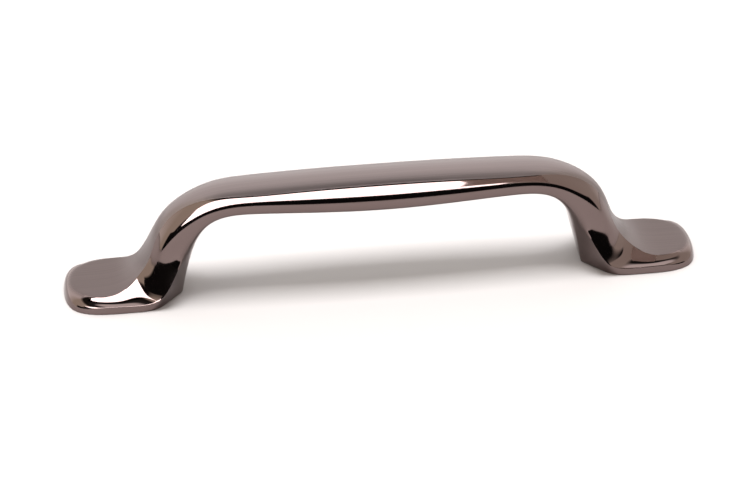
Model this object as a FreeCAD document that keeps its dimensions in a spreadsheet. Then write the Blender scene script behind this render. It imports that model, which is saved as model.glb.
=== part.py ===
"""A die-cast cabinet pull: one solid handle on two spoon-shaped feet.

Millimetres, +Z away from the drawer front, +X along the grip. The origin lies
in the mounting plane, midway between the two screw holes.
"""

import FreeCAD, Part
import math
import os
import Sketcher

# Driving dimensions in millimetres. Each one becomes a cell of the spreadsheet
SIZES = {
    # blind holes for the fixing screws, drilled for an M4 thread
    "screw_spacing": 96.0,
    "tap_drill_diameter": 3.3,
    "screw_hole_depth": 6.5,
    # places along the pull, measured from the axis of a screw hole towards the tip
    "tip_reach": 18.5,
    "root_reach": 4.4,
    "shoulder_reach": -5.4,
    "heel_reach": -6.0,
    "arch_reach": -10.4,
    # side view: tip, foot, leg, shoulder and crown of the outer line
    "projection": 24.5,
    "pad_height": 2.85,
    "tip_draft": 0.6,
    "root_radius": 9.7,
    "crown_rise": 1.5,
    "shoulder_radius": 17.7,
    # side view: the finger arch
    "arch_height": 18.85,
    "arch_radius": 10.0,
    "grip_belly": 1.3,
    # plan of the feet
    "foot_width": 19.0,
    "tip_flat_width": 2.6,
    "rim_height": 1.95,
    # slant of the inner corners of the feet
    "heel_width": 6.0,
    "heel_top_width": 12.0,
    "heel_chamfer_length": 5.8,
    "heel_chamfer_height": 14.0,
    # rounding of the outer edge, which the flanks leave standing round each tip
    "nose_radius": 1.8,
    # places of the flank sections, measured from the screw axis towards the tip
    "shoulder_station": -18.0,
    "bend_station": -10.5,
    "leg_station": -5.0,
    "flank_station": -1.0,
    "hip_station": 1.0,
    "neck_station": 3.0,
    "spoon_station": 7.0,
    "pad_station": 10.5,
    "nose_station": 14.5,
    # half widths of the outer face at the middle of the grip and at those places
    "grip_half_width": 4.9,
    "shoulder_half_width": 4.7,
    "bend_half_width": 4.3,
    "leg_half_width": 4.2,
    "flank_half_width": 3.2,
    "hip_half_width": 3.6,
    "neck_half_width": 2.3,
    "spoon_half_width": 4.4,
    "pad_half_width": 4.5,
    "nose_half_width": 3.2,
    "end_half_width": 0.5,
    # heights above which the flanks stand upright
    "grip_flank_height": 23.0,
    "shoulder_flank_height": 22.7,
    "bend_flank_height": 21.5,
    "leg_flank_height": 18.7,
    "flank_height": 13.2,
    "hip_flank_height": 13.0,
    "neck_flank_height": 12.0,
    "spoon_flank_height": 9.0,
    "pad_flank_height": 8.0,
    # hollow of the slanted flanks from the grip down to the leg
    "flank_radius": 90.0,
}

# How far a cutting shape reaches past the metal that it removes
CLEAR = 2.0


def make_sheet(doc):
    """Put every driving dimension in a spreadsheet cell with its own alias."""
    sheet = doc.addObject("Spreadsheet::Sheet", "sizes")
    for row, (alias, value) in enumerate(SIZES.items(), start=1):
        sheet.set("A%d" % row, alias)
        sheet.set("B%d" % row, str(value))
        sheet.setAlias("B%d" % row, alias)
    doc.recompute()
    return sheet


def origin_plane(body, role):
    """Return the origin plane of a body by its role."""
    return next(f for f in body.Origin.OriginFeatures if f.Role == role)


def new_sketch(body, name, role, offset="0"):
    """Add an empty sketch parallel to an origin plane, an expression away from it."""
    sketch = body.newObject("Sketcher::SketchObject", name)
    sketch.AttachmentSupport = (origin_plane(body, role), "")
    sketch.MapMode = "FlatFace"
    sketch.setExpression(".AttachmentOffset.Base.z", offset)
    return sketch


def draw_outline(sketch, corners, arcs=None):
    """Draw a closed outline; edge i runs from corner i to the next corner.

    arcs maps the number of an edge to the centre of its counterclockwise arc.
    """
    arcs = arcs or {}
    for edge, (x, y) in enumerate(corners):
        start = FreeCAD.Vector(x, y, 0)
        end = FreeCAD.Vector(*corners[(edge + 1) % len(corners)], 0)
        if edge in arcs:
            centre = FreeCAD.Vector(*arcs[edge], 0)
            circle = Part.Circle(centre, FreeCAD.Vector(0, 0, 1), (start - centre).Length)
            first = math.atan2(start.y - centre.y, start.x - centre.x)
            last = math.atan2(end.y - centre.y, end.x - centre.x)
            sketch.addGeometry(Part.ArcOfCircle(circle, first, last), False)
        else:
            sketch.addGeometry(Part.LineSegment(start, end), False)
    for edge in range(len(corners)):
        after = (edge + 1) % len(corners)
        sketch.addConstraint(Sketcher.Constraint("Coincident", edge, 2, after, 1))


def drive(sketch, constraint, expression):
    """Add a dimension whose value is an expression of the spreadsheet."""
    index = sketch.addConstraint(constraint)
    name = "size%d" % index
    sketch.renameConstraint(index, name)
    sketch.setExpression("Constraints." + name, expression)


def place(sketch, edge, point, x, y, across, up):
    """Tie a point near (x, y) to the origin by one expression for each axis."""
    for kind, value, expression in (("DistanceX", x, across), ("DistanceY", y, up)):
        if expression == "0":
            axis = -2 if kind == "DistanceX" else -1
            sketch.addConstraint(Sketcher.Constraint("PointOnObject", edge, point, axis))
        else:
            constraint = Sketcher.Constraint(kind, -1, 1, edge, point, value)
            drive(sketch, constraint, expression)


def along(size, name):
    """Return the distance of a named place from the middle, and its expression."""
    value = size.screw_spacing / 2 + getattr(size, name)
    return value, "(sizes.screw_spacing / 2 + sizes.%s)" % name


def side_profile(body, size):
    """Sketch the side view: feet, legs, crowned grip and finger arch."""
    sketch = new_sketch(body, "side_profile", "XZ_Plane")
    heel, heel_text = along(size, "heel_reach")
    tip, tip_text = along(size, "tip_reach")
    root, root_text = along(size, "root_reach")
    shoulder, shoulder_text = along(size, "shoulder_reach")
    arch_x, arch_text = along(size, "arch_reach")
    shoulder_height = size.projection - size.crown_rise
    right = [
        (heel, 0, heel_text, "0"),
        (tip, 0, tip_text, "0"),
        (tip - size.tip_draft, size.pad_height, tip_text + " - sizes.tip_draft", "sizes.pad_height"),
        (root, size.pad_height, root_text, "sizes.pad_height"),
        (shoulder, shoulder_height, shoulder_text, "sizes.projection - sizes.crown_rise"),
    ]
    left = [(-x, y) for x, y, _, _ in reversed(right)]
    arch = [(-arch_x, size.arch_height), (arch_x, size.arch_height)]
    corners = [(x, y) for x, y, _, _ in right] + left + arch
    crown_radius = (shoulder ** 2 + size.crown_rise ** 2) / (2 * size.crown_rise)
    belly_radius = (arch_x ** 2 + size.grip_belly ** 2) / (2 * size.grip_belly)
    centres = {
        4: (0, size.projection - crown_radius),
        10: (0, size.arch_height - size.grip_belly + belly_radius),
    }
    draw_outline(sketch, corners, centres)
    for edge, (x, y, across, up) in enumerate(right):
        place(sketch, edge, 1, x, y, across, up)
        sketch.addConstraint(Sketcher.Constraint("Symmetric", edge, 1, 9 - edge, 1, -2))
    place(sketch, 11, 1, arch_x, size.arch_height, arch_text, "sizes.arch_height")
    sketch.addConstraint(Sketcher.Constraint("Symmetric", 10, 1, 11, 1, -2))
    drive(sketch, Sketcher.Constraint("Radius", 4, crown_radius),
          "(%s ^ 2 + sizes.crown_rise ^ 2) / (2 * sizes.crown_rise)" % shoulder_text)
    drive(sketch, Sketcher.Constraint("Radius", 10, belly_radius),
          "(%s ^ 2 + sizes.grip_belly ^ 2) / (2 * sizes.grip_belly)" % arch_text)
    return sketch


def edges_along_y(shape, x, z):
    """Name the edges of a shape that run along Y through (x, z) on either side."""
    names = []
    for number, edge in enumerate(shape.Edges, start=1):
        middle = edge.CenterOfMass
        straight = abs(edge.tangentAt(edge.FirstParameter).y) > 0.99
        if straight and math.hypot(abs(middle.x) - x, middle.z - z) < 0.05:
            names.append("Edge%d" % number)
    return names


def add_fillet(body, name, base, edges, expression):
    """Round named edges of a feature with a radius from the spreadsheet."""
    fillet = body.newObject("PartDesign::Fillet", name)
    fillet.Base = (base, edges)
    fillet.setExpression("Radius", expression)
    return fillet


def arm_blank(doc, body, size):
    """Pad the side view to the foot width and round its corners and the tips."""
    pad = body.newObject("PartDesign::Pad", "blank")
    pad.Profile = side_profile(body, size)
    pad.Midplane = True
    pad.setExpression("Length", "sizes.foot_width")
    doc.recompute()
    last = pad
    heights = {
        "root": size.pad_height,
        "shoulder": size.projection - size.crown_rise,
        "arch": size.arch_height,
    }
    for name, height in heights.items():
        edges = edges_along_y(last.Shape, along(size, name + "_reach")[0], height)
        last = add_fillet(body, name + "_rounding", last, edges, "sizes.%s_radius" % name)
        doc.recompute()
    half = size.foot_width / 2
    reach = along(size, "tip_reach")[0] - size.tip_draft
    corners = []
    for number, edge in enumerate(last.Shape.Edges, start=1):
        middle = edge.CenterOfMass
        if abs(middle.x) > reach and abs(abs(middle.y) - half) < 0.01:
            corners.append("Edge%d" % number)
    last = add_fillet(body, "tip_rounding", last, corners,
                      "(sizes.foot_width - sizes.tip_flat_width) / 2")
    doc.recompute()
    nose = edges_along_y(last.Shape, reach, size.pad_height)
    last = add_fillet(body, "nose_rounding", last, nose, "sizes.nose_radius")
    doc.recompute()
    return last


def flank_section(body, size, name, station, half, height, radius=None):
    """Sketch what is cut away beside the arm at one station along the pull.

    The flank is an arc from the outer face down to the rim of the foot. It has
    the radius of that name, or else leaves the outer face upright.
    """
    side, place_x = station
    sign = "-" if side < 0 else ""
    sketch = new_sketch(body, name, "YZ_Plane", sign + "(" + place_x + ")")
    near = getattr(size, half)
    high = getattr(size, height)
    rim = size.foot_width / 2
    out = rim + CLEAR
    top = size.projection + CLEAR
    reach = rim - near
    rise = high - size.rim_height
    rim_text = "sizes.foot_width / 2"
    out_text = "%s + %s" % (rim_text, CLEAR)
    top_text = "sizes.projection + %s" % CLEAR
    reach_text = "(%s - sizes.%s)" % (rim_text, half)
    rise_text = "(sizes.%s - sizes.rim_height)" % height
    if radius:
        bend = getattr(size, radius)
        offset = math.sqrt(bend ** 2 / (reach ** 2 + rise ** 2) - 1 / 4)
        centre = (near + reach / 2 + offset * rise, high - rise / 2 + offset * reach)
        offset_text = "sqrt(sizes.%s ^ 2 / (%s ^ 2 + %s ^ 2) - 1 / 4)" % (radius, reach_text, rise_text)
        across_text = "sizes.%s + %s / 2 + %s * %s" % (half, reach_text, offset_text, rise_text)
        up_text = "sizes.%s - %s / 2 + %s * %s" % (height, rise_text, offset_text, reach_text)
    else:
        bend = (reach ** 2 + rise ** 2) / (2 * reach)
        centre = (near + bend, high)
        across_text = "sizes.%s + (%s ^ 2 + %s ^ 2) / (2 * %s)" % (half, reach_text, rise_text, reach_text)
        up_text = "sizes." + height
    foot = centre[1] - math.sqrt(bend ** 2 - (out - centre[0]) ** 2)
    draw_outline(sketch, [(out, top), (near, top), (near, high), (out, foot)], {2: centre})
    place(sketch, 0, 1, out, top, out_text, top_text)
    place(sketch, 1, 1, near, top, "sizes." + half, top_text)
    place(sketch, 2, 1, near, high, "sizes." + half, "sizes." + height)
    place(sketch, 2, 3, centre[0], centre[1], across_text, up_text)
    drive(sketch, Sketcher.Constraint("DistanceX", -1, 1, 3, 1, out), out_text)
    return sketch


def cut_flanks(doc, body, size):
    """Cut both long sides to the arm's width, with a hollow scoop above each foot."""
    stations = [
        ("end", "end_half_width", "pad_flank_height", None),
        ("nose", "nose_half_width", "pad_flank_height", None),
        ("pad", "pad_half_width", "pad_flank_height", None),
        ("spoon", "spoon_half_width", "spoon_flank_height", None),
        ("neck", "neck_half_width", "neck_flank_height", None),
        ("hip", "hip_half_width", "hip_flank_height", None),
        ("flank", "flank_half_width", "flank_height", "flank_radius"),
        ("leg", "leg_half_width", "leg_flank_height", "flank_radius"),
        ("bend", "bend_half_width", "bend_flank_height", "flank_radius"),
        ("shoulder", "shoulder_half_width", "shoulder_flank_height", "flank_radius"),
    ]
    halves = []
    for side, word in ((-1, "_left"), (1, "_right")):
        row = []
        for name, half, height, radius in stations:
            if name == "end":
                where = "%s + %s" % (along(size, "tip_reach")[1], CLEAR)
            else:
                where = along(size, name + "_station")[1]
            row.append(flank_section(body, size, name + word, (side, where), half, height, radius))
        halves.append(row)
    middle = flank_section(body, size, "grip_middle", (1, "0"), "grip_half_width",
                           "grip_flank_height", "flank_radius")
    sections = halves[0] + [middle] + halves[1][::-1]
    doc.recompute()
    loft = body.newObject("PartDesign::SubtractiveLoft", "front_flank")
    loft.Profile = sections[0]
    loft.Sections = sections[1:]
    loft.Ruled = True
    doc.recompute()
    mirror = body.newObject("PartDesign::Mirrored", "back_flank")
    mirror.Originals = [loft]
    mirror.MirrorPlane = (origin_plane(body, "XZ_Plane"), [""])
    body.Tip = mirror
    doc.recompute()
    return mirror


def heel_section(body, size, name, height, reach, width):
    """Sketch the triangle cut from the inner corner of a foot at one height.

    height, reach and width are pairs of a value and its expression.
    """
    sketch = new_sketch(body, name, "XY_Plane", height[1])
    slope = (size.foot_width / 2 - size.heel_width / 2) / size.heel_chamfer_length
    slope_text = "((sizes.foot_width - sizes.heel_width) / 2 / sizes.heel_chamfer_length)"
    out = size.foot_width / 2 + CLEAR
    out_text = "sizes.foot_width / 2 + %s" % CLEAR
    inner = reach[0] - CLEAR
    inner_text = "%s - %s" % (reach[1], CLEAR)
    near = width[0] - CLEAR * slope
    far = reach[0] + (out - width[0]) / slope
    draw_outline(sketch, [(inner, near), (far, out), (inner, out)])
    place(sketch, 0, 1, inner, near, inner_text, "%s - %s * %s" % (width[1], CLEAR, slope_text))
    place(sketch, 1, 1, far, out,
          "%s + (%s - %s) / %s" % (reach[1], out_text, width[1], slope_text), out_text)
    place(sketch, 2, 1, inner, out, inner_text, out_text)
    return sketch


def cut_heels(doc, body, size):
    """Slant the inner corners of both feet; the slant runs out up the leg."""
    heel, heel_text = along(size, "heel_reach")
    base = heel_section(body, size, "heel_base", (0, "0"), (heel, heel_text),
                        (size.heel_width / 2, "sizes.heel_width / 2"))
    back = (size.heel_reach - size.arch_reach) / size.arch_height * size.heel_chamfer_height
    back_text = "(sizes.heel_reach - sizes.arch_reach) / sizes.arch_height * sizes.heel_chamfer_height"
    top = heel_section(body, size, "heel_top", (size.heel_chamfer_height, "sizes.heel_chamfer_height"),
                       (heel - back, "(%s - %s)" % (heel_text, back_text)),
                       (size.heel_top_width / 2, "sizes.heel_top_width / 2"))
    doc.recompute()
    loft = body.newObject("PartDesign::SubtractiveLoft", "heel_slant")
    loft.Profile = base
    loft.Sections = [top]
    loft.Ruled = True
    doc.recompute()
    group = body.newObject("PartDesign::MultiTransform", "four_heels")
    group.Originals = [loft]
    mirrors = []
    for name, role in (("heel_across", "XZ_Plane"), ("heel_along", "YZ_Plane")):
        mirror = body.newObject("PartDesign::Mirrored", name)
        mirror.MirrorPlane = (origin_plane(body, role), [""])
        mirrors.append(mirror)
    group.Transformations = mirrors
    body.Tip = group
    doc.recompute()
    return group


def drill_holes(doc, body, size):
    """Drill the two blind holes for the fixing screws from the mounting plane."""
    sketch = new_sketch(body, "screw_places", "XY_Plane")
    reach = size.screw_spacing / 2
    radius = size.tap_drill_diameter / 2
    for edge, side in enumerate((1, -1)):
        centre = FreeCAD.Vector(side * reach, 0, 0)
        sketch.addGeometry(Part.Circle(centre, FreeCAD.Vector(0, 0, 1), radius), False)
        drive(sketch, Sketcher.Constraint("Diameter", edge, 2 * radius), "sizes.tap_drill_diameter")
    place(sketch, 0, 3, reach, 0, "sizes.screw_spacing / 2", "0")
    sketch.addConstraint(Sketcher.Constraint("Symmetric", 0, 3, 1, 3, -2))
    pocket = body.newObject("PartDesign::Pocket", "screw_holes")
    pocket.Profile = sketch
    pocket.setExpression("Length", "sizes.screw_hole_depth")
    pocket.Reversed = True
    doc.recompute()
    return pocket


def check(doc, body):
    """Stop before anything is written if a feature or the solid is not sound."""
    for feature in doc.Objects:
        if "Invalid" in feature.State or "Error" in feature.State:
            raise RuntimeError("%s failed: %s" % (feature.Name, feature.State))
    if body.Shape.isNull() or not body.Shape.isValid() or len(body.Shape.Solids) != 1:
        raise RuntimeError("the pull is not one valid solid")


def main():
    """Build the pull as one cast body and write it as a STEP file."""
    doc = FreeCAD.newDocument("cabinet_pull")
    size = make_sheet(doc)
    body = doc.addObject("PartDesign::Body", "pull_body")
    body.Label = "pull_body"
    body.Placement = FreeCAD.Placement()
    arm_blank(doc, body, size)
    cut_flanks(doc, body, size)
    cut_heels(doc, body, size)
    drill_holes(doc, body, size)
    check(doc, body)
    os.makedirs("parts", exist_ok=True)
    body.Shape.exportStep("parts/%s.step" % body.Label)
    print("%s: %.1f cubic millimetres" % (body.Label, body.Shape.Volume))


main()
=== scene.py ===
"""Looks of a die-cast cabinet pull in dark plated metal, brushed on its outer face."""

import math

import bmesh
import bpy
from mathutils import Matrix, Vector


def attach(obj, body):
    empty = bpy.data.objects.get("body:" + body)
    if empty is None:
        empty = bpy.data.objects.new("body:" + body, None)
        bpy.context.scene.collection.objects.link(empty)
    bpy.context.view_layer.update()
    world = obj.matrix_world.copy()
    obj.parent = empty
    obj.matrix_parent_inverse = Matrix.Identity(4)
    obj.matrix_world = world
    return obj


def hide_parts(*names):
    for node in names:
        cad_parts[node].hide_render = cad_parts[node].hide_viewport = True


MM = 0.001

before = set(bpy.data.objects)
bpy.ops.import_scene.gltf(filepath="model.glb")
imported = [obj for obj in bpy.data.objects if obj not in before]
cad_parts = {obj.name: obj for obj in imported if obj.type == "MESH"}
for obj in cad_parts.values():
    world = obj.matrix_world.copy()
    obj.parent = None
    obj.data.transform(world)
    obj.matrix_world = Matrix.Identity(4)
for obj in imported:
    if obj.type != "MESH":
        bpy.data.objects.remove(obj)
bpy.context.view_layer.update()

# The camera stands in front of the left foot and looks down on the pull: place in metres,
# turn in degrees, lens in mm
CAMERA_PLACE = (-0.078152, -0.557867, 0.370796)
CAMERA_TURN = (56.98, 0.0, -7.842)
CAMERA_LENS = 154.22

# Rows of the casting from the middle of the grip to the corner of a foot, in mm. Each
# row has the crown (x, z) of the outer face and the middle (x, z) of the underside
CROWN = [
    (0.0, 24.49), (9.66, 24.46), (19.3, 24.27), (27.5, 23.97), (33.4, 23.72),
    (38.4, 22.55), (42.65, 20.25), (45.7, 17.25), (47.3, 14.2), (48.3, 11.3),
    (49.35, 8.8), (50.8, 6.4), (52.75, 4.55), (55.1, 3.3), (58.0, 2.85),
    (61.0, 2.85),
]
BELOW = [
    (0.0, 17.54), (9.62, 17.75), (19.2, 18.2), (27.5, 18.72), (32.2, 18.65),
    (35.75, 17.2), (37.95, 14.6), (39.0, 11.5), (39.75, 8.5), (40.7, 5.1),
    (42.0, 0.0), (45.0, 0.0), (48.5, 0.0), (53.0, 0.0), (57.5, 0.0),
    (61.0, 0.0),
]
# The points (x, y, z) of each row down the side: edge of the brushed face, four points
# of the flank, lower edge of the flank, edge of the underside or of the base
SIDES = [
    [(0.0, 4.3, 23.48), (0.0, 5.1, 22.65), (0.0, 5.75, 21.6), (0.0, 6.15, 20.35), (0.0, 6.33, 19.2),
     (0.0, 6.05, 18.3), (0.0, 5.0, 17.72)],
    [(9.66, 4.35, 23.45), (9.66, 5.1, 22.65), (9.66, 5.7, 21.6), (9.66, 6.08, 20.4), (9.66, 6.22, 19.35),
     (9.65, 5.95, 18.5), (9.62, 4.9, 17.92)],
    [(19.3, 4.45, 23.2), (19.3, 5.1, 22.45), (19.3, 5.58, 21.5), (19.3, 5.85, 20.5), (19.25, 5.92, 19.6),
     (19.2, 5.6, 18.85), (19.2, 4.6, 18.35)],
    [(27.5, 4.5, 22.9), (27.5, 5.05, 22.2), (27.5, 5.37, 21.35), (27.5, 5.52, 20.5), (27.5, 5.52, 19.75),
     (27.5, 5.2, 19.1), (27.5, 4.2, 18.75)],
    [(33.25, 3.9, 22.95), (33.05, 4.75, 22.1), (32.85, 5.15, 21.2), (32.6, 5.35, 20.3), (32.45, 5.35, 19.5),
     (32.35, 5.0, 18.95), (32.2, 4.0, 18.65)],
    [(38.2, 2.8, 22.02), (37.75, 4.5, 20.95), (37.4, 5.1, 20.0), (37.0, 5.3, 19.1), (36.5, 5.35, 18.2),
     (36.2, 5.1, 17.65), (35.75, 4.0, 17.2)],
    [(42.45, 1.9, 19.9), (41.6, 4.7, 18.9), (40.9, 5.45, 17.95), (40.2, 5.62, 17.0), (39.5, 5.75, 16.1),
     (38.8, 5.65, 15.35), (38.1, 4.4, 14.7)],
    [(45.4, 1.9, 16.95), (44.45, 5.15, 16.2), (43.4, 5.78, 15.4), (42.4, 5.9, 14.6), (41.5, 6.05, 13.8),
     (40.7, 6.15, 12.95), (39.4, 4.2, 11.7)],
    [(46.95, 2.3, 14.0), (46.1, 5.3, 13.45), (45.0, 5.95, 12.8), (43.9, 6.2, 12.1), (42.9, 6.45, 11.3),
     (42.0, 6.7, 10.5), (40.25, 3.5, 8.7)],
    [(48.0, 3.3, 11.05), (47.35, 5.25, 10.65), (46.35, 6.1, 10.1), (45.3, 6.5, 9.55), (44.2, 6.95, 8.95),
     (43.1, 7.5, 8.35), (41.15, 3.3, 5.2)],
    [(49.05, 4.05, 8.5), (48.45, 5.25, 8.15), (47.5, 6.45, 7.65), (46.5, 7.15, 7.1), (45.4, 7.75, 6.55),
     (44.35, 8.4, 6.0), (42.0, 3.0, 0.0)],
    [(50.55, 3.9, 6.15), (49.85, 5.2, 5.75), (48.9, 6.45, 5.2), (47.9, 7.4, 4.75), (46.8, 8.25, 4.3),
     (45.7, 9.1, 3.9), (44.9, 6.2, 0.0)],
    [(52.5, 5.1, 4.4), (51.85, 5.75, 3.7), (51.0, 6.5, 2.8), (49.9, 7.4, 2.2), (48.7, 8.45, 1.87),
     (47.6, 9.42, 1.65), (47.8, 9.5, 0.0)],
    [(55.1, 6.95, 3.3), (54.7, 7.45, 2.68), (54.3, 7.95, 2.14), (54.0, 8.4, 1.82), (53.5, 8.95, 1.7),
     (53.0, 9.38, 1.62), (53.0, 9.5, 0.0)],
    [(58.0, 7.35, 2.85), (57.95, 7.72, 2.42), (57.85, 8.1, 2.03), (57.75, 8.55, 1.88), (57.6, 9.0, 1.8),
     (57.5, 9.35, 1.75), (57.5, 9.52, 0.0)],
    [(61.0, 6.75, 2.85), (61.0, 7.12, 2.45), (61.0, 7.5, 2.1), (61.0, 8.05, 1.95), (61.0, 8.6, 1.82),
     (61.0, 9.05, 1.6), (61.0, 9.25, 0.0)],
]

# The rounded tip: edge of the pad, corner of the foot and outline on the drawer
PAD_EDGE = [(63.6, 0.0, 2.85), (63.5, 2.2, 2.85), (63.15, 4.15, 2.85), (62.4, 5.75, 2.85)]
CORNER = [
    (62.85, 6.25, 2.7), (63.3, 6.75, 2.42), (63.75, 7.15, 2.0), (64.1, 7.45, 1.5), (64.3, 7.65, 0.9),
    (64.4, 7.75, 0.0),
]
OUTLINE = [(66.54, 0.0, 0.0), (66.42, 2.8, 0.0), (65.8, 5.45, 0.0), (64.4, 7.75, 0.0)]
# Steps of the cap that closes the tip: share of the way out to the outline, height in mm
NOSE_STEPS = [(0.33, 2.78), (0.58, 2.5), (0.77, 2.05), (0.89, 1.5), (0.96, 0.8)]
# The brushed face reaches down over this many of them
BRUSHED_STEPS = 4

# Where a row has the edge of the brushed face, the lower edge of the flank and the edge of
# the underside, and the row at which the heel meets the drawer
FACE_EDGE, FLANK_FOOT, UNDER_EDGE = 3, 8, 9
HEEL_ROW = 10
# Crisp edges along the pull: point of the rows, first row, last row, sharpness
CREASES = [
    (FACE_EDGE, 8, 9, 0.45), (FACE_EDGE, 9, 10, 0.8), (FACE_EDGE, 10, 15, 1.0), (FACE_EDGE, 15, 16, 0.35),
    (FLANK_FOOT, 8, 9, 0.6), (FLANK_FOOT, 9, 11, 1.0), (FLANK_FOOT, 11, 14, 0.85), (FLANK_FOOT, 14, 15, 0.9),
    (UNDER_EDGE, 8, 10, 0.5), (UNDER_EDGE, 10, 16, 0.9),
]
HEEL_SHARPNESS = 0.95
OUTLINE_SHARPNESS = 0.9

# Screw holes in mm: distance from the middle, radius, length of the bit, which goes in
# by half its length
SCREW_REACH = 48
HOLE_RADIUS = 1.65
BIT_LENGTH = 13

# The brushed finish in mm: the oval of the pad by its middle, reach and half width, and where the tips and
# the painted shade of the feet begin and are reached in full
PAD_MIDDLE, PAD_REACH, PAD_ASIDE = 57.5, 7.3, 7.2
TIP_SPAN = (58.5, 60.5)
FOOT_SHADE_SPAN = (44, 56)
# Over this span of the oval's radius the brushed pad turns into its bright rim
RIM_SPAN = (1.0, 1.2)
# Brush lines and clouds in the plate: waves in a metre, axis by axis, and relief in metres
BRUSH_LINES = (25, 2600, 25)
PLATE_CLOUDS = (60, 160, 60)
BRUSH_DEPTH = 0.000004
PLATE_DEPTH = 0.000003
# Darkest and lightest tone of each finish, and the painted shade that darkens the colour of the satin on the
# feet
SATIN_TONES = ((0.142, 0.117, 0.115), (0.215, 0.176, 0.174))
BRIGHT_TONES = ((0.162, 0.121, 0.116), (0.195, 0.148, 0.141))
FOOT_PAINTED_SHADE = (0.58, 0.54, 0.53)
SATIN_ROUGHNESS = (0.27, 0.44)
BRIGHT_ROUGHNESS = (0.04, 0.08)
TIP_ROUGHNESS = 0.06

# Colours of the studio: the paper on the floor, the walls round the pull and the two cards
PAPER = (0.44, 0.423, 0.423)
BACK = (1, 0.98, 0.96)
SIDE = (0.52, 0.48, 0.43)
OLIVE = (0.62, 0.57, 0.47)
BROWN = (0.45, 0.4, 0.35)
DARK = (0.006, 0.006, 0.006)
LEFT_CARD = (0.01, 0.01, 0.01)
RIGHT_CARD = (0.62, 0.52, 0.46)
# Walls by compass angle, 0 in front and 90 on the right: below and above the height at
# which they change, given as the upward share of the line of sight
LOW_WALLS = [
    (-180, BACK), (180, BACK), (-130, BACK), (-100, OLIVE), (-80, OLIVE),
    (-74, DARK), (65, DARK), (72, SIDE), (110, SIDE), (140, BACK),
]
HIGH_WALLS = [
    (-180, BACK), (180, BACK), (-130, BACK), (-100, OLIVE), (-60, OLIVE),
    (-52, DARK), (12, DARK), (14, BROWN), (110, SIDE), (140, BACK),
]
WALL_CHANGE = (0.33, 0.36)
# The room darkens to this share of its strength where the ceiling starts
CEILING = (0.89, 0.95)
CEILING_SHARE = 0.03
ROOM_STRENGTH = 2.0
# Power of each softbox in watts
LAMP_POWER = 24


def row_points(i):
    """The points of one row, from the crown round to the middle of the underside."""
    crown = Vector((CROWN[i][0], 0.0, CROWN[i][1]))
    below = Vector((BELOW[i][0], 0.0, BELOW[i][1]))
    side = [Vector(p) for p in SIDES[i]]
    points = []
    for middle, edge, shares in (
        (crown, side[0], (0, 1 / 3, 2 / 3)), (below, side[-1], (2 / 3, 1 / 3, 0)),
    ):
        for share in shares:
            point = middle.lerp(edge, share ** 2)
            point.y = edge.y * share
            points.append(point)
    points[FACE_EDGE:FACE_EDGE] = side
    return [p * MM for p in points]


def tip_points():
    """The last row, which turns round the corner of the foot."""
    bottom = list(reversed(OUTLINE))[1:]
    return [Vector(p) * MM for p in PAD_EDGE + CORNER + bottom]


def pick(piece, places):
    """Select the points of the piece that lie at these places."""
    shape = bmesh.from_edit_mesh(piece.data)
    for part in (shape.verts, shape.edges, shape.faces):
        for item in part:
            item.select = False
    for place in places:
        min(shape.verts, key=lambda v: (v.co - place).length_squared).select = True
    shape.select_mode = {"VERT"}
    shape.select_flush_mode()
    bmesh.update_edit_mesh(piece.data)


def carry(piece, starts, ends):
    """Move points one by one to their places."""
    for start, end in zip(starts, ends):
        pick(piece, [start])
        bpy.ops.transform.translate(value=end - start)


def draw_out(piece, places, ends):
    """Extrude a line of points and carry the new ones to their places."""
    step = Vector((0.1, 0.0, 0.0))
    pick(piece, places)
    bpy.ops.mesh.extrude_edges_move(TRANSFORM_OT_translate={"value": step})
    carry(piece, [p + step for p in places], ends)


def crease(piece, places, value):
    """Sharpen the edges along a line of points."""
    for start, end in zip(places, places[1:]):
        pick(piece, [start, end])
        bpy.ops.transform.edge_crease(value=value)


def half_ring():
    """A circle across the grip, cut down to the half whose 13 points become the first row."""
    bpy.ops.object.select_all(action="DESELECT")
    bpy.ops.mesh.primitive_circle_add(
        vertices=24, radius=5 * MM, rotation=(0, math.pi / 2, 0), location=(0, 0, 0.02),
        enter_editmode=True,
    )
    piece = bpy.context.object
    piece.name = "cast_pull"
    bpy.ops.object.mode_set(mode="OBJECT")
    bpy.ops.object.transform_apply(location=True, rotation=True, scale=True)
    bpy.ops.object.mode_set(mode="EDIT")
    shape = bmesh.from_edit_mesh(piece.data)
    for vert in shape.verts:
        vert.select = vert.co.y < -0.01 * MM
    shape.select_flush_mode()
    bmesh.update_edit_mesh(piece.data)
    bpy.ops.mesh.delete(type="VERT")
    shape = bmesh.from_edit_mesh(piece.data)
    return piece, sorted((v.co.copy() for v in shape.verts), key=lambda p: -p.z)


def model_body():
    """A quarter of the casting, drawn out row by row and closed at the tip."""
    piece, ring = half_ring()
    rows = [row_points(i) for i in range(len(CROWN))] + [tip_points()]
    carry(piece, ring, rows[0])
    for near, far in zip(rows, rows[1:]):
        draw_out(piece, near, far)
    # Close the tip downwards from the edge of the pad
    pad, corner, outline = rows[-1][:4], rows[-1][4:9], list(reversed(rows[-1][9:]))
    steps = []
    for (share, height), end in zip(NOSE_STEPS, corner):
        step = [top.lerp(base, share) for top, base in zip(pad[:3], outline[:3])]
        for point in step:
            point.z = height * MM
        steps.append(step + [end])
    for above, below in zip([pad] + steps, steps + [outline]):
        draw_out(piece, above, below)
        bpy.ops.mesh.select_all(action="SELECT")
        bpy.ops.mesh.remove_doubles(threshold=0.005 * MM)
    nose = [point for step in steps[:BRUSHED_STEPS] for point in step]
    return piece, rows, nose


def sharpen(piece, rows):
    """Crisp edges where the brushed face, the rims and the base end."""
    for point, first, last, sharpness in CREASES:
        crease(piece, [row[point] for row in rows[first:last + 1]], sharpness)
    crease(piece, rows[HEEL_ROW][UNDER_EDGE:], HEEL_SHARPNESS)
    crease(piece, rows[-1][UNDER_EDGE:], OUTLINE_SHARPNESS)


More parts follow.
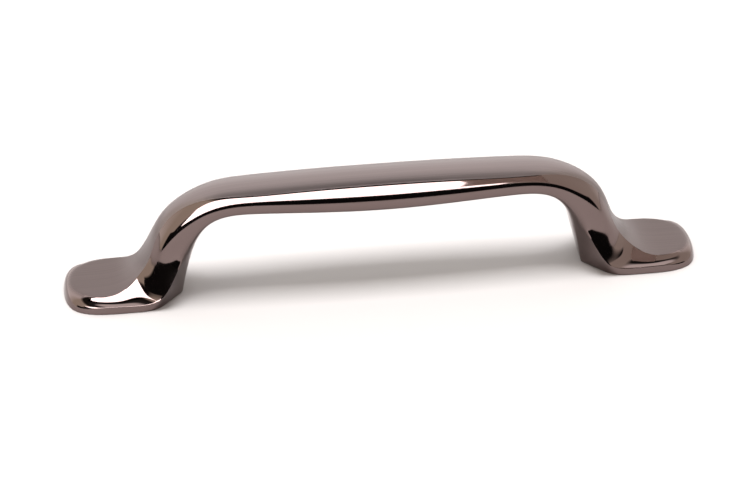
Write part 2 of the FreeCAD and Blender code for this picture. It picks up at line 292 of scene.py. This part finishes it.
def finish_body(piece):
    """Mirror the quarter both ways and smooth the casting."""
    bpy.ops.mesh.select_all(action="SELECT")
    bpy.ops.mesh.normals_make_consistent(inside=False)
    bpy.ops.object.mode_set(mode="OBJECT")
    mirror = piece.modifiers.new("both_sides", "MIRROR")
    mirror.use_axis = (True, True, False)
    mirror.use_clip = True
    mirror.merge_threshold = 0.01 * MM
    bpy.ops.object.modifier_apply(modifier="both_sides")
    bpy.ops.object.mode_set(mode="EDIT")
    bpy.ops.mesh.select_all(action="SELECT")
    bpy.ops.mesh.normals_make_consistent(inside=False)
    bpy.ops.object.mode_set(mode="OBJECT")
    smooth = piece.modifiers.new("casting_skin", "SUBSURF")
    smooth.levels = 3
    smooth.render_levels = 3
    bpy.ops.object.modifier_apply(modifier="casting_skin")


def drill(piece, x):
    """A blind screw hole in the underside of a foot."""
    bpy.ops.object.select_all(action="DESELECT")
    bpy.ops.mesh.primitive_cylinder_add(
        vertices=48, radius=HOLE_RADIUS * MM, depth=BIT_LENGTH * MM, location=(x, 0, 0),
    )
    bit = bpy.context.object
    bpy.ops.object.select_all(action="DESELECT")
    piece.select_set(True)
    bpy.context.view_layer.objects.active = piece
    hole = piece.modifiers.new("screw_hole", "BOOLEAN")
    hole.operation = "DIFFERENCE"
    hole.solver = "EXACT"
    hole.object = bit
    bpy.ops.object.modifier_apply(modifier="screw_hole")
    bpy.data.objects.remove(bit)


def new_group(name, outputs):
    """An empty group of nodes whose outputs are all numbers."""
    group = bpy.data.node_groups.new(name, "ShaderNodeTree")
    for output in outputs:
        group.interface.new_socket(output, in_out="OUTPUT", socket_type="NodeSocketFloat")
    return group


def noise_at(tree, place, stretch, detail):
    """Noise over the object's own coordinates, stretched axis by axis."""
    mapping = tree.nodes.new("ShaderNodeMapping")
    mapping.inputs["Scale"].default_value = stretch
    noise = tree.nodes.new("ShaderNodeTexNoise")
    noise.inputs["Scale"].default_value = 1.0
    noise.inputs["Detail"].default_value = detail
    tree.links.new(place, mapping.inputs["Vector"])
    tree.links.new(mapping.outputs["Vector"], noise.inputs["Vector"])
    return noise.outputs["Fac"]


def reckon(tree, kind, first, second=None):
    """One step of arithmetic on two values or numbers."""
    node = tree.nodes.new("ShaderNodeMath")
    node.operation = kind
    for socket, value in zip(node.inputs, (first, second)):
        if isinstance(value, (int, float)):
            socket.default_value = value
        elif value is not None:
            tree.links.new(value, socket)
    return node.outputs["Value"]


def span(tree, value, near, far, start=0.0, end=1.0, soft=False):
    """Spread a value that runs from start to end over the range from near to far."""
    node = tree.nodes.new("ShaderNodeMapRange")
    node.interpolation_type = "SMOOTHSTEP" if soft else "LINEAR"
    for name, number in (("From Min", start), ("From Max", end), ("To Min", near), ("To Max", far)):
        node.inputs[name].default_value = number
    tree.links.new(value, node.inputs["Value"])
    return node.outputs["Result"]


def blend(tree, share, first, second, kind="MIX"):
    """Blend two colours, each a number triple or a link, by a share."""
    node = tree.nodes.new("ShaderNodeMix")
    node.data_type = "RGBA"
    node.blend_type = kind
    for name, value in (("Factor", share), ("A", first), ("B", second)):
        if isinstance(value, tuple):
            node.inputs[name].default_value = (*value, 1)
        elif isinstance(value, (int, float)):
            node.inputs[name].default_value = value
        else:
            tree.links.new(value, node.inputs[name])
    return node.outputs["Result"]


def finish_and_shade_marks():
    """Brush lines and slow clouds, where the feet are darkened by painted shade, and where their rounded
    tips are.
    """
    group = new_group("finish_and_shade_marks", ("Lines", "Clouds", "PaintedFootShade", "Tip"))
    out = group.nodes.new("NodeGroupOutput")
    place = group.nodes.new("ShaderNodeTexCoord").outputs["Object"]
    split = group.nodes.new("ShaderNodeSeparateXYZ")
    group.links.new(place, split.inputs["Vector"])
    along = reckon(group, "ABSOLUTE", split.outputs["X"])
    reach = reckon(group, "DIVIDE", reckon(group, "SUBTRACT", along, PAD_MIDDLE * MM), PAD_REACH * MM)
    aside = reckon(group, "DIVIDE", split.outputs["Y"], PAD_ASIDE * MM)
    squares = [reckon(group, "MULTIPLY", side, side) for side in (reach, aside)]
    radius = reckon(group, "SQRT", reckon(group, "ADD", *squares))
    nose = span(group, along, 0, 1, TIP_SPAN[0] * MM, TIP_SPAN[1] * MM, soft=True)
    # Share of painted shade on the feet, which grows from where they begin
    foot = span(group, along, 0, 1, FOOT_SHADE_SPAN[0] * MM, FOOT_SHADE_SPAN[1] * MM, soft=True)
    tip = reckon(group, "MULTIPLY", nose, span(group, radius, 0, 1, *RIM_SPAN, soft=True))
    group.links.new(noise_at(group, place, BRUSH_LINES, 4), out.inputs["Lines"])
    group.links.new(noise_at(group, place, PLATE_CLOUDS, 3), out.inputs["Clouds"])
    group.links.new(foot, out.inputs["PaintedFootShade"])
    group.links.new(tip, out.inputs["Tip"])


def metal(name):
    """A new metal material, with its tree, shader and marks."""
    material = bpy.data.materials.new(name)
    material.use_nodes = True
    tree = material.node_tree
    shader = tree.nodes["Principled BSDF"]
    shader.inputs["Metallic"].default_value = 1.0
    marks = tree.nodes.new("ShaderNodeGroup")
    marks.node_tree = bpy.data.node_groups["finish_and_shade_marks"]
    return material, tree, shader, marks.outputs


def relief(tree, shader, height, depth):
    """Let a height stand out of the surface by this depth in metres."""
    bump = tree.nodes.new("ShaderNodeBump")
    bump.inputs["Distance"].default_value = depth
    tree.links.new(height, bump.inputs["Height"])
    tree.links.new(bump.outputs["Normal"], shader.inputs["Normal"])


def polished_nickel():
    """Bright plate on the flanks, in the scoops and underneath."""
    material, tree, shader, marks = metal("polished_nickel")
    tree.links.new(blend(tree, marks["Clouds"], *BRIGHT_TONES), shader.inputs["Base Color"])
    tree.links.new(span(tree, marks["Clouds"], *BRIGHT_ROUGHNESS), shader.inputs["Roughness"])
    relief(tree, shader, marks["Clouds"], PLATE_DEPTH)
    return material


def brushed_nickel_painted_shade():
    """Plate brushed along the outer face, darkened with painted shade on the feet and bright at the tips."""
    material, tree, shader, marks = metal("brushed_nickel_painted_shade")
    satin = blend(tree, marks["Lines"], *SATIN_TONES)
    # Painted shade: the colour of the satin on the feet is darkened
    painted_shade_satin = blend(tree, 1.0, satin, FOOT_PAINTED_SHADE, "MULTIPLY")
    satin_with_painted_shade = blend(tree, marks["PaintedFootShade"], satin, painted_shade_satin)
    bright = blend(tree, marks["Clouds"], *BRIGHT_TONES)
    tree.links.new(blend(tree, marks["Tip"], satin_with_painted_shade, bright), shader.inputs["Base Color"])
    plain = reckon(tree, "SUBTRACT", 1.0, marks["Tip"])
    rough = reckon(tree, "MULTIPLY", span(tree, marks["Lines"], *SATIN_ROUGHNESS), plain)
    gloss = reckon(tree, "MULTIPLY", marks["Tip"], TIP_ROUGHNESS)
    tree.links.new(reckon(tree, "ADD", rough, gloss), shader.inputs["Roughness"])
    relief(tree, shader, reckon(tree, "MULTIPLY", marks["Lines"], plain), BRUSH_DEPTH)
    return material


def matt(name, colour, roughness=1.0, shine=0.0):
    """A plain material for the stage."""
    material = bpy.data.materials.new(name)
    material.use_nodes = True
    shader = material.node_tree.nodes["Principled BSDF"]
    shader.inputs["Base Color"].default_value = (*colour, 1)
    shader.inputs["Roughness"].default_value = roughness
    shader.inputs["Specular IOR Level"].default_value = shine
    return material


def ramp(tree, value, stops):
    """Colours round the room, each from its compass angle."""
    node = tree.nodes.new("ShaderNodeValToRGB")
    line = node.color_ramp
    for number, (degrees, colour) in enumerate(stops):
        place = degrees / 360 + 0.5
        stop = line.elements[number] if number < 2 else line.elements.new(place)
        stop.position = place
        stop.color = (*colour, 1)
    tree.links.new(value, node.inputs["Fac"])
    return node.outputs["Color"]


def studio_room():
    """The walls and the ceiling that the metal mirrors."""
    world = bpy.data.worlds.new("studio")
    bpy.context.scene.world = world
    world.use_nodes = True
    room = world.node_tree
    toward = room.nodes.new("ShaderNodeTexCoord")
    split = room.nodes.new("ShaderNodeSeparateXYZ")
    room.links.new(toward.outputs["Generated"], split.inputs["Vector"])
    front = reckon(room, "MULTIPLY", split.outputs["Y"], -1.0)
    turn = reckon(room, "ARCTAN2", split.outputs["X"], front)
    round_room = span(room, turn, 0, 1, -math.pi, math.pi)
    low_walls = ramp(room, round_room, LOW_WALLS)
    high_walls = ramp(room, round_room, HIGH_WALLS)
    height = span(room, split.outputs["Z"], 0, 1, *WALL_CHANGE)
    walls = blend(room, height, low_walls, high_walls)
    ceiling = span(room, split.outputs["Z"], 1.0, CEILING_SHARE, *CEILING)
    strength = reckon(room, "MULTIPLY", ceiling, ROOM_STRENGTH)
    room.links.new(walls, room.nodes["Background"].inputs["Color"])
    room.links.new(strength, room.nodes["Background"].inputs["Strength"])


def softbox(name, place, target, size, power):
    """A lamp with a flat face of this size, turned to the target."""
    light = bpy.data.lights.new(name, "AREA")
    light.shape = "RECTANGLE"
    light.size, light.size_y = size
    light.energy = power
    lamp = bpy.data.objects.new(name, light)
    bpy.context.scene.collection.objects.link(lamp)
    lamp.location = place
    lamp.rotation_mode = "QUATERNION"
    lamp.rotation_quaternion = (Vector(target) - Vector(place)).to_track_quat("-Z", "Y")
    return lamp


def studio_card(name, material, corner_ring):
    """A card outside the picture, which only the metal mirrors."""
    bpy.ops.object.select_all(action="DESELECT")
    bpy.ops.mesh.primitive_plane_add(size=2.0, location=(0, 0, 0))
    card = bpy.context.object
    card.name = name
    bpy.ops.object.mode_set(mode="EDIT")
    corners = [Vector((-1, -1, 0)), Vector((1, -1, 0)), Vector((1, 1, 0)), Vector((-1, 1, 0))]
    carry(card, corners, [Vector(corner) for corner in corner_ring])
    bpy.ops.object.mode_set(mode="OBJECT")
    card.visible_camera = False
    card.visible_diffuse = False
    card.visible_shadow = False
    card.data.materials.append(material)


# The pull
body, body_rows, body_nose = model_body()
sharpen(body, body_rows)
finish_and_shade_marks()
body.data.materials.append(polished_nickel())
body.data.materials.append(brushed_nickel_painted_shade())
# The outer face, the pads and the upper part of the tips are brushed
face = [point for row in body_rows for point in row[:FACE_EDGE + 1]]
pick(body, face + body_nose)
body.active_material_index = 1
bpy.ops.object.material_slot_assign()
finish_body(body)
drill(body, SCREW_REACH * MM)
drill(body, -SCREW_REACH * MM)
bpy.ops.object.shade_smooth_by_angle(angle=math.radians(50))
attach(body, "root")
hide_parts("pull_body")

# The floor and the room
bpy.ops.object.select_all(action="DESELECT")
bpy.ops.mesh.primitive_plane_add(size=6.0, location=(0, 0, 0))
floor = bpy.context.object
floor.name = "floor"
floor.data.materials.append(matt("white_paper", PAPER, roughness=0.9, shine=0.5))
studio_room()
bpy.context.scene.view_settings.view_transform = "Standard"

# A wide softbox in front that the metal mirrors and one overhead that lights the floor
front = softbox(
    "front_softbox", (-0.220, -0.630, 0.646), (-0.220, -0.052, -0.043), (0.911, 0.855), LAMP_POWER)
front.visible_diffuse = False
overhead = softbox("overhead_softbox", (0.0, 0.06, 1.2), (0, 0, 0), (0.5, 0.5), LAMP_POWER)
overhead.visible_glossy = False

# A black card stands for the dark edge of the table on the left, and a small brown one
# keeps the softbox out of the right foot
studio_card("left_card", matt("black_card", LEFT_CARD), [
    (-0.52, -0.18, 0), (-0.21, -0.5, 0), (-0.21, -0.5, 0.2), (-0.52, -0.18, 0.2)])
studio_card("right_card", matt("brown_card", RIGHT_CARD), [
    (0.0344, -0.103, 0.0732), (0.0864, -0.103, 0.0732), (0.0864, -0.03, 0.134), (0.0344, -0.03, 0.134)])

view = bpy.data.cameras.new("photo_view")
view.lens = CAMERA_LENS
view.sensor_width = 36.0
view.clip_start = 0.01
camera = bpy.data.objects.new("photo_view", view)
camera.location = CAMERA_PLACE
camera.rotation_euler = [math.radians(angle) for angle in CAMERA_TURN]
bpy.context.scene.collection.objects.link(camera)
bpy.context.scene.camera = camera
